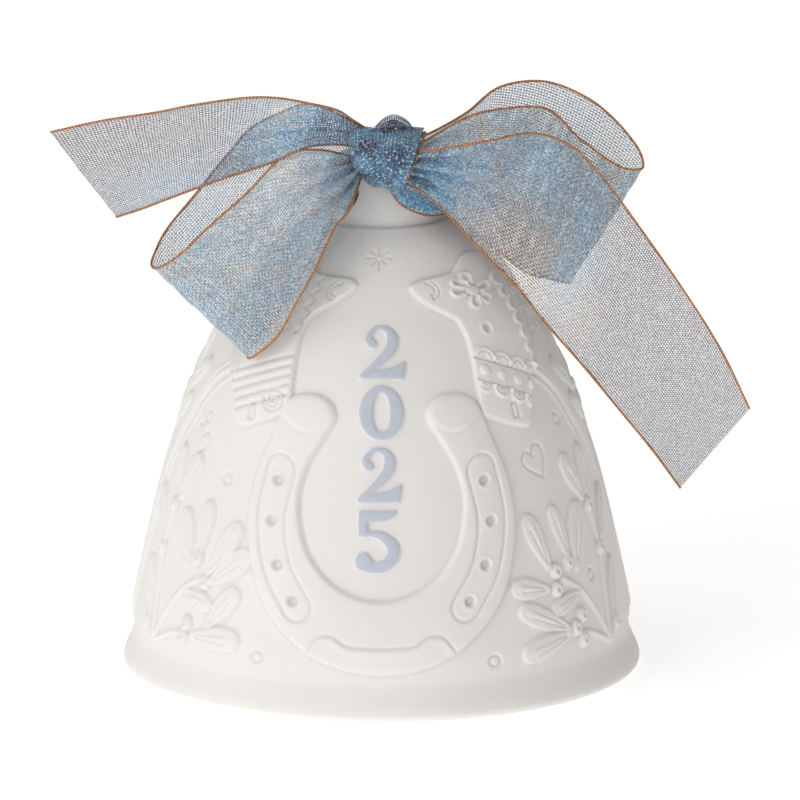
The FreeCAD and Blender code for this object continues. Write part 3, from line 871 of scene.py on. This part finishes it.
RIGHT_LOOP = [((2.5, -8.5, 84.5), (2.0, -9.5, 82.5)), ((5.5, -5.5, 85.2), (5.0, -9.0, 81.0)),
              ((9.0, -1.5, 86.0), (7.5, -9.0, 79.5)), ((13.5, 4.0, 87.5), (11.0, -7.0, 75.0)),
              ((18.5, 7.0, 90.8), (15.0, -3.0, 70.0)), ((25.5, 8.0, 91.5), (19.5, -1.0, 65.8)),
              ((32.0, 8.0, 89.0), (23.5, 0.5, 63.0)), ((36.5, 7.5, 85.5), (26.5, 0.5, 61.5)),
              ((40.0, 6.0, 81.5), (29.0, 0.0, 61.0)), ((41.0, 4.3, 79.2), (29.6, -1.8, 61.3)),
              ((40.4, 3.0, 78.5), (29.0, -3.8, 62.0)), ((37.0, 1.0, 79.5), (26.5, -6.0, 63.0)),
              ((31.0, -2.0, 84.5), (23.0, -7.0, 64.0)), ((26.0, -3.5, 89.5), (19.5, -8.5, 67.0)),
              ((19.5, -5.0, 90.0), (14.0, -9.5, 71.5)), ((13.5, -6.5, 89.0), (9.0, -10.0, 76.0)),
              ((7.0, -8.0, 85.6), (4.5, -10.8, 80.2)), ((3.0, -9.5, 84.5), (2.5, -10.8, 82.0))]
STRAP = [((-2.2, -11.6, 84.0), (-1.8, -11.6, 80.5)), ((-5.0, -12.8, 83.4), (-5.6, -12.4, 79.4)),
         ((-7.9, -12.0, 81.0), (-7.5, -11.8, 77.8)), ((-8.2, -9.8, 78.6), (-8.2, -9.4, 75.5)),
         ((-6.2, -7.6, 78.4), (-6.4, -7.2, 75.4)), ((0.0, 0.0, 78.5), (0.0, 0.0, 75.5)),
         ((6.3, 7.4, 78.5), (6.3, 7.4, 75.5)), ((9.4, 9.3, 78.8), (9.4, 9.3, 75.6)),
         ((12.2, 6.8, 79.6), (12.8, 6.8, 75.6)), ((13.2, 0.0, 80.0), (14.4, 0.0, 75.4)),
         ((11.2, -7.6, 79.2), (12.4, -9.0, 75.0)), ((8.0, -11.6, 79.0), (8.2, -13.0, 74.8)),
         ((5.0, -13.6, 80.2), (3.6, -14.6, 76.6)), ((2.8, -13.4, 82.6), (1.2, -14.0, 79.2)),
         ((1.8, -12.4, 84.0), (0.6, -12.6, 82.2))]


def make_knot():
    """The tied middle of the bow: a tight bundle with pleats that cross it on a slant."""
    middle = np.array([1.0, -11.8, 83.4])
    columns, rows = 160, 100
    turn = np.linspace(0, 2 * math.pi, columns, endpoint=False)
    rise = np.linspace(-math.pi / 2, math.pi / 2, rows)[:, None]
    way = np.stack([np.cos(rise) * np.sin(turn), -np.cos(rise) * np.cos(turn),
                    np.sin(rise) * np.ones(columns)], -1)
    slant = 1.25 * way[..., 0] + 0.55 * way[..., 2] + 0.25 * way[..., 0] * way[..., 2]
    folds = 1.0 - np.abs(np.sin(slant * 5.2 + 0.8)) ** 0.8
    fine = np.sin(slant * 23 + 2 * way[..., 2])
    swell = 1.0 - 0.15 * folds + 0.012 * fine - 0.07 * np.exp(-((way[..., 2] - 0.55) / 0.12) ** 2)
    shape = np.array([5.0, 3.6, 5.0])
    points = middle + way * shape * swell[..., None]
    obj = mesh_object("bow_knot_bundle", points.reshape(-1, 3), grid_faces(rows, columns, True))
    tidy_mesh(obj, 0.01)
    co = vertex_array(obj)
    patches = np.sin(co[:, 0] * 1.3 + co[:, 2])
    point_value(obj, "across", co[:, 0] * 1.25 + co[:, 2] * 0.55)
    point_value(obj, "along", co[:, 2] - co[:, 0] * 0.4)
    # Painted shade and sheen: blue well past 1 paints the bundle dark navy as shade of its tight folds, and
    # the copper patches paint faint peach highlights
    point_value(obj, "blue", 1.75 + 0.3 * patches)
    point_value(obj, "copper", np.clip(0.25 * patches, 0, 1))
    return obj


# The knot's wraps run over the top and down its front, edge B to the right
KNOT_WRAP = [((-1.6, -7.6, 87.6), (6.2, -7.6, 87.2)), ((-3.2, -11.0, 88.2), (6.8, -11.0, 88.6)),
             ((-3.5, -14.5, 86.4), (6.2, -16.5, 88.1)), ((-3.2, -16.5, 83.2), (5.3, -18.5, 85.3)),
             ((-0.4, -17.2, 81.3), (4.3, -18.3, 82.3)), ((1.8, -16.4, 79.4), (3.5, -17.0, 79.6)),
             ((2.2, -13.0, 78.0), (3.4, -13.0, 78.2))]
KNOT_LEFT = [((-4.2, -8.0, 87.4), (-0.6, -8.0, 88.0)), ((-5.0, -11.0, 87.6), (-0.8, -12.6, 88.2)),
             ((-4.8, -13.4, 85.2), (-0.4, -15.2, 85.6)), ((-4.0, -13.8, 82.0), (0.8, -15.6, 81.6)),
             ((-1.8, -12.6, 79.6), (2.2, -14.2, 79.2)), ((-0.8, -10.4, 78.8), (2.4, -11.4, 78.4))]
KNOT_TOP = [((-2.0, -11.6, 85.4), (-1.8, -8.4, 85.2)), ((-1.6, -12.4, 87.4), (-1.4, -8.0, 86.8)),
            ((-0.4, -13.2, 89.2), (-0.2, -7.6, 89.0)), ((2.0, -13.2, 89.9), (2.0, -7.4, 89.9)),
            ((4.3, -12.6, 89.0), (4.3, -7.6, 88.8)), ((5.6, -11.6, 87.2), (5.4, -8.0, 86.6)),
            ((5.9, -11.0, 85.2), (5.7, -8.4, 84.8))]


# ---------------------------------------------------------------- materials

WEAVE_PITCH = 0.42
THREAD_TWIST = 0.55


def node_material(name):
    material = bpy.data.materials.new(name)
    material.use_nodes = True
    tree = material.node_tree
    return material, tree, tree.nodes["Principled BSDF"]


def set_inputs(node, **values):
    """Sets constants on a node's sockets. An underscore in a name stands for a space."""
    for name, value in values.items():
        node.inputs[name.replace("_", " ")].default_value = value


def feed(tree, socket, value):
    """Gives a socket a constant or a link."""
    if isinstance(value, (int, float, tuple)):
        socket.default_value = value
    else:
        tree.links.new(value, socket)


def add(tree, kind, **settings):
    node = tree.nodes.new(kind)
    for key, value in settings.items():
        setattr(node, key, value)
    return node


def value_node(tree, name):
    return add(tree, "ShaderNodeAttribute", attribute_name=name).outputs["Fac"]


def math_node(tree, operation, a, b=None, c=None, clamp=False):
    node = add(tree, "ShaderNodeMath", operation=operation, use_clamp=clamp)
    for socket, value in zip(node.inputs, (a, b, c)):
        if value is not None:
            feed(tree, socket, value)
    return node.outputs["Value"]


def mixed(tree, factor, a, b):
    node = add(tree, "ShaderNodeMix", data_type="RGBA")
    for name, value in (("Factor", factor), ("A", a), ("B", b)):
        feed(tree, node.inputs[name], value)
    return node.outputs["Result"]


def noise(tree, scale, detail, stretch=None):
    """Noise in the object's own space, which may be stretched."""
    place = add(tree, "ShaderNodeTexCoord").outputs["Object"]
    if stretch:
        mapping = add(tree, "ShaderNodeMapping")
        mapping.inputs["Scale"].default_value = stretch
        tree.links.new(place, mapping.inputs["Vector"])
        place = mapping.outputs["Vector"]
    node = add(tree, "ShaderNodeTexNoise")
    set_inputs(node, Scale=scale, Detail=detail)
    tree.links.new(place, node.inputs["Vector"])
    return node.outputs["Fac"]


def bump(tree, shader, height, strength, distance):
    node = add(tree, "ShaderNodeBump")
    set_inputs(node, Strength=strength, Distance=distance)
    tree.links.new(height, node.inputs["Height"])
    tree.links.new(node.outputs["Normal"], shader.inputs["Normal"])


def bisque_material():
    """Unglazed porcelain: near white, matte, a little translucent, with a very fine tooth. Recesses of the
    relief get a darker, browner colour: painted shade.
    """
    material, tree, shader = node_material("bisque_porcelain")
    tone = mixed(tree, noise(tree, 45.0, 3.0), (0.81, 0.79, 0.765, 1), (0.87, 0.855, 0.835, 1))
    reach = add(tree, "ShaderNodeMapRange")
    set_inputs(reach, From_Min=0.03, From_Max=0.3, To_Max=0.6)
    tree.links.new(value_node(tree, "painted_recess_shade"), reach.inputs["Value"])
    # Painted shade: recesses of the relief turn a darker, browner porcelain colour
    shade = mixed(tree, reach.outputs["Result"], tone, (0.52, 0.45, 0.39, 1))
    tree.links.new(shade, shader.inputs["Base Color"])
    bump(tree, shader, noise(tree, 2600.0, 2.0), 0.12, 0.00004)
    set_inputs(shader, Roughness=0.62, Specular_IOR_Level=0.3, Subsurface_Weight=0.12,
               Subsurface_Radius=(0.0012, 0.0009, 0.0007), Subsurface_Scale=1.0)
    return material


def weave(tree):
    """A plain weave: the height of its threads, and where the copper weft lies on top."""
    turns = [math_node(tree, "MULTIPLY", value_node(tree, name), 2 * math.pi / WEAVE_PITCH)
             for name in ("across", "along")]
    warp, weft = [math_node(tree, "COSINE", turn) for turn in turns]
    half_warp, half_weft = [math_node(tree, "COSINE", math_node(tree, "MULTIPLY", turn, 0.5))
                            for turn in turns]
    over = math_node(tree, "MULTIPLY", math_node(tree, "MULTIPLY", half_warp, half_weft), 0.5)
    warp_height = math_node(tree, "ADD", warp, over)
    weft_height = math_node(tree, "SUBTRACT", weft, over)
    height = math_node(tree, "MAXIMUM", warp_height, weft_height)
    return height, math_node(tree, "GREATER_THAN", weft_height, warp_height)


def organza_material():
    """Sheer plain weave: metallic blue threads one way, copper threads the other, gaps between.
    The blue and copper attributes paint sheen into the colour: cyan and peach painted highlights
    where the shot cloth would catch the light. Where blue passes 1 the colours darken towards navy
    with glints: painted shade of the bunched folds."""
    material, tree, shader = node_material("organza")
    height, weft_on_top = weave(tree)
    # Painted glints: noise lays bright specks into the threads' colour, standing in for light caught by the
    # yarn
    glint = noise(tree, 2600.0, 1.0)
    painted_glint = math_node(tree, "MULTIPLY_ADD", glint, 3.2, -1.35, clamp=True)
    painted_bright_glint = math_node(tree, "MULTIPLY_ADD", glint, 5.0, -2.6, clamp=True)
    patchy = math_node(tree, "MULTIPLY_ADD", noise(tree, 260.0, 2.0), 3.0, -1.0, clamp=True)
    more = math_node(tree, "MULTIPLY_ADD", patchy, 0.4, 0.7)
    less = math_node(tree, "MULTIPLY_ADD", patchy, -0.5, 1.1)
    # Painted sheen: the blue and copper attributes, stirred by noise, say where the threads show lit cyan or
    # peach colours
    blueness = math_node(tree, "MULTIPLY", value_node(tree, "blue"), more)
    blue = math_node(tree, "ADD", blueness, 0.0, clamp=True)
    # Painted shade: blue past 1 darkens the threads towards navy, with glints, in the bunched folds of the
    # knot and tight pleats
    fold_shade_share = math_node(tree, "SUBTRACT", blueness, 1.0, clamp=True)
    copper = math_node(tree, "MULTIPLY", value_node(tree, "copper"), less, clamp=True)
    # Thread colours, each from a dark tone to a painted glint. Slate and rose are the threads' own tones; the
    # cyan, deep blue and peach ones paint the sheen of the shot cloth; the two darkest paint shade with
    # glints.
    slate = mixed(tree, painted_glint, (0.075, 0.08, 0.12, 1), (0.42, 0.44, 0.50, 1))
    rose = mixed(tree, painted_glint, (0.15, 0.125, 0.12, 1), (0.58, 0.51, 0.46, 1))
    lit_blue_sheen = mixed(tree, painted_glint, (0.08, 0.38, 0.66, 1), (0.55, 0.92, 1.0, 1))
    blue_sheen_on_weft = mixed(tree, painted_glint, (0.14, 0.27, 0.50, 1), (0.75, 0.88, 0.97, 1))
    warp_in_shade = mixed(tree, painted_bright_glint, (0.006, 0.03, 0.11, 1), (0.22, 0.52, 0.80, 1))
    weft_in_shade = mixed(tree, painted_bright_glint, (0.008, 0.012, 0.04, 1), (0.95, 0.86, 0.80, 1))
    lit_copper_sheen = mixed(tree, painted_glint, (0.90, 0.66, 0.48, 1), (1.0, 0.95, 0.86, 1))
    warp_colour = mixed(tree, fold_shade_share, mixed(tree, blue, slate, lit_blue_sheen), warp_in_shade)
    weft_colour = mixed(tree, fold_shade_share, mixed(tree, copper, mixed(tree, blue, rose, blue_sheen_on_weft), lit_copper_sheen), weft_in_shade)
    tree.links.new(mixed(tree, weft_on_top, warp_colour, weft_colour), shader.inputs["Base Color"])
    bump(tree, shader, height, 0.5, 0.00006)
    threads = math_node(tree, "GREATER_THAN", height, 0.0)
    tree.links.new(math_node(tree, "MULTIPLY", threads, 0.88), shader.inputs["Alpha"])
    set_inputs(shader, Metallic=0.15, Roughness=0.4, Sheen_Weight=0.2)
    return material


def copper_thread_material():
    """The wired edge: copper thread laid in a tight twist."""
    material, tree, shader = node_material("copper_thread")
    turn = math_node(tree, "MULTIPLY", value_node(tree, "along"), 2 * math.pi / THREAD_TWIST)
    twist = math_node(tree, "SINE", turn)
    # Painted shading of the twist: the thread's colour darkens and lightens with the same wave as its bump,
    # plus random tone from noise
    tone = math_node(tree, "MULTIPLY_ADD", twist, 0.3, noise(tree, 900.0, 2.0), clamp=True)
    colour = mixed(tree, tone, (0.24, 0.085, 0.025, 1), (0.72, 0.34, 0.14, 1))
    tree.links.new(colour, shader.inputs["Base Color"])
    bump(tree, shader, twist, 0.6, 0.00008)
    set_inputs(shader, Metallic=0.4, Roughness=0.4)
    return material


def paint_material():
    """Soft blue enamel on the tops of the figures, bare porcelain on their flanks."""
    material, tree, shader = node_material("numeral_enamel")
    inset = add(tree, "ShaderNodeMapRange", interpolation_type="SMOOTHSTEP")
    set_inputs(inset, From_Min=0.04, From_Max=0.36)
    cloud = noise(tree, 700.0, 3.0)
    wander = math_node(tree, "MULTIPLY_ADD", cloud, 0.16, value_node(tree, "inset"))
    tree.links.new(math_node(tree, "SUBTRACT", wander, 0.08), inset.inputs["Value"])
    enamel = mixed(tree, cloud, (0.50, 0.54, 0.63, 1), (0.60, 0.63, 0.70, 1))
    colour = mixed(tree, inset.outputs["Result"], (0.83, 0.82, 0.81, 1), enamel)
    tree.links.new(colour, shader.inputs["Base Color"])
    bump(tree, shader, noise(tree, 2600.0, 2.0), 0.1, 0.00004)
    set_inputs(shader, Roughness=0.5, Specular_IOR_Level=0.35)
    return material


def metal_material(name, dark, light, roughness, grain):
    """Drawn wire or spun metal: fine lengthwise grain with small duller patches."""
    material, tree, shader = node_material(name)
    lines = noise(tree, 1.0, 4.0, grain)
    tone = math_node(tree, "MULTIPLY_ADD", noise(tree, 420.0, 2.0), 1.6, -0.3, clamp=True)
    tree.links.new(mixed(tree, tone, dark, light), shader.inputs["Base Color"])
    tree.links.new(math_node(tree, "MULTIPLY_ADD", lines, 0.25, roughness), shader.inputs["Roughness"])
    bump(tree, shader, lines, 0.2, 0.00003)
    set_inputs(shader, Metallic=1.0)
    return material


def cement_material():
    """The grey-white cement that holds the wire eye in the crown: sandy, with pits."""
    material, tree, shader = node_material("setting_cement")
    grit = noise(tree, 1500.0, 5.0)
    pits = add(tree, "ShaderNodeTexVoronoi")
    set_inputs(pits, Scale=900.0)
    place = add(tree, "ShaderNodeTexCoord")
    tree.links.new(place.outputs["Object"], pits.inputs["Vector"])
    colour = mixed(tree, grit, (0.42, 0.40, 0.37, 1), (0.72, 0.70, 0.66, 1))
    tree.links.new(colour, shader.inputs["Base Color"])
    bump(tree, shader, math_node(tree, "MULTIPLY_ADD", pits.outputs["Distance"], 0.6, grit), 0.6, 0.0001)
    set_inputs(shader, Roughness=0.9)
    return material


# ---------------------------------------------------------------- the bell

BISQUE = bisque_material()
skin, relief = make_skin()
skin_halves = halves(skin, ("bell_front", "bell_back"))
crown = make_crown()
for piece in skin_halves + [crown]:
    piece.data.materials.append(BISQUE)
    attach(piece, "bell")
    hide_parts("bell_shell")

ENAMEL = paint_material()
# Each figure's foot and top along the profile, and how far it stands aside of the middle
NUMERALS = [("numeral_1", two, 53.3, 62.3, 0.1), ("numeral_2", zero, 43.75, 52.75, 0.0),
            ("numeral_3", two, 34.05, 42.95, -0.35), ("numeral_4", five, 23.1, 33.2, -0.25)]
for node, figure, foot, top, aside in NUMERALS:
    piece = make_numeral(node + "_raised", figure, foot, top, aside, relief)
    piece.data.materials.append(ENAMEL)
    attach(piece, "bell")
    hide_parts(node)

# ---------------------------------------------------------------- the bow

ORGANZA = organza_material()
THREAD = copper_thread_material()


def add_ribbon(name, stations, nodes, rests_on, seed, held="gathered", **options):
    piece, threads, long = ribbon(name, stations, seed, **options)
    piece.data.materials.append(ORGANZA)
    parts = [threads] if threads else []
    for part in [piece] + parts:
        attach(part, "bell")
    for part in parts:
        part.data.materials.append(THREAD)
    if nodes:
        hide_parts(*nodes)


knot = make_knot()
knot.data.materials.append(ORGANZA)
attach(knot, "bell")
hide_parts("bow_knot")
# Base levels and spots paint sheen onto the organza: painted highlights where the shot cloth would catch the
# light, and past 1 in blue, painted shade of the knot's folds
add_ribbon("knot_wrap", KNOT_WRAP, [], held="folded", rests_on=[knot], seed=4, layers=3,
           edges=(False, True), base=(1.75, 0), spots=[(0.45, 0.8, 0.15, 0.3, 1, 0.9)])
add_ribbon("knot_left_fold", KNOT_LEFT, [], held="folded", rests_on=[knot], seed=6, layers=5,
           edges=(False, False), base=(1.65, 0))
add_ribbon("knot_top_fold", KNOT_TOP, [], held="folded", rests_on=[knot], seed=7, layers=5,
           edges=(False, False), base=(1.8, 0))
add_ribbon("left_tail", LEFT_TAIL, ["bow_left_tail"], rests_on=[knot], seed=3,
           spots=[(0.2, 0.6, 0.22, 0.8, 1.1, 0), (0.7, 0.95, 0.3, 0.35, 0.5, 0),
                  (0.3, 0.2, 0.06, 0.2, 0, 0.6)])
add_ribbon("left_loop", LEFT_LOOP, ["bow_left_loop"], rests_on=[knot], seed=5, base=(0.6, 0.6),
           spots=[(0.47, 0.5, 0.035, 2.0, 1.0, 0), (0.2, 0.15, 0.1, 0.25, 0, 1),
                  (0.34, 0.45, 0.06, 0.3, 0, 0.9), (0.2, 0.8, 0.14, 0.3, 0.9, 0),
                  (0.84, 0.4, 0.14, 1, 1.2, 0)])
add_ribbon("right_tail", RIGHT_TAIL, ["bow_right_tail"], rests_on=[knot], seed=8, base=(0.1, 0.15),
           spots=[(0.14, 0.5, 0.1, 0.8, 0.9, 0), (0.33, 0.8, 0.16, 0.45, 0, 0.95),
                  (0.3, 0.25, 0.12, 0.35, 0.8, 0), (0.45, 0.45, 0.07, 0.6, 0.8, 0),
                  (0.5, 0.8, 0.1, 0.3, 0, 0.7)])
add_ribbon("right_loop", RIGHT_LOOP, ["bow_right_loop"], rests_on=[knot], seed=12, base=(0.6, 0.65),
           spots=[(0.5, 0.5, 0.06, 2.0, 1, 0), (0.72, 0.2, 0.06, 0.25, 1, 0), (0.85, 0.4, 0.12, 0.8, 0.9, 0),
                  (0.62, 0.7, 0.06, 0.4, 0.7, 0.3)])
add_ribbon("ribbon_strap", STRAP, ["crown_strap"], rests_on=[knot, crown], seed=2, layers=5,
           spots=[(0.5, 0.5, 2, 2, 0.9, 0)])

# ---------------------------------------------------------------- the clapper and its hanger

STEEL = metal_material("drawn_steel", (0.42, 0.42, 0.43, 1), (0.66, 0.66, 0.67, 1), 0.22, (4000, 4000, 400))
BRASS = metal_material("turned_brass", (0.52, 0.36, 0.14, 1), (0.80, 0.60, 0.28, 1), 0.2, (300, 300, 5000))
CLAPPER_LOOKS = {"clapper_eye": STEEL, "clapper_link": STEEL, "clapper_wire": STEEL, "clapper_bead": BRASS,
                 "eye_cement": cement_material(), "clapper_ball": BISQUE}
for node, look in CLAPPER_LOOKS.items():
    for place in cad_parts[node].material_slots:
        place.material = look

# ---------------------------------------------------------------- floor, light and camera

def make_floor():
    """A pale floor that glows a little, so that it runs into the background."""
    bpy.ops.mesh.primitive_plane_add(size=6)
    floor = bpy.context.object
    floor.name = "floor"
    material, tree, shader = node_material("pale_floor")
    set_inputs(shader, Base_Color=(0.93, 0.93, 0.93, 1), Roughness=0.9, Emission_Color=(1, 1, 1, 1),
               Emission_Strength=0.47)
    floor.data.materials.append(material)


def make_world():
    world = bpy.data.worlds.new("studio")
    world.use_nodes = True
    set_inputs(world.node_tree.nodes["Background"], Color=(1, 0.975, 0.955, 1), Strength=0.37)
    bpy.context.scene.world = world


def make_light(name, kind, direction, place=(0, 0, 0), **settings):
    """A lamp that shines along a direction."""
    data = bpy.data.lights.new(name, kind)
    for key, value in settings.items():
        setattr(data, key, value)
    light = bpy.data.objects.new(name, data)
    bpy.context.scene.collection.objects.link(light)
    light.location = place
    light.rotation_euler = Vector(direction).to_track_quat("-Z", "Y").to_euler()


def make_camera():
    """Looks a little down at the front of the bell."""
    elevation = math.radians(13.3)
    aim = Vector((0.0029, 0.0, 0.0421))
    distance, picture_width, sensor = 2.5, 0.1255, 36.0
    data = bpy.data.cameras.new("view")
    data.lens = sensor * distance / picture_width
    data.sensor_width = sensor
    data.clip_start = 0.05
    data.clip_end = 20
    camera = bpy.data.objects.new("view", data)
    bpy.context.scene.collection.objects.link(camera)
    camera.location = aim + Vector((0, -math.cos(elevation), math.sin(elevation))) * distance
    camera.rotation_euler = (aim - camera.location).to_track_quat("-Z", "Y").to_euler()
    bpy.context.scene.camera = camera


make_floor()
make_world()
make_light("soft_sky", "SUN", (0.5, 0.2, -0.85), energy=0.75, angle=math.radians(75))
make_light("softbox", "AREA", (1.8, 2.4, -0.6), (-1.8, -2.4, 0.65), energy=28.0, size=1.8)
make_camera()

bpy.context.scene.view_settings.view_transform = "Standard"
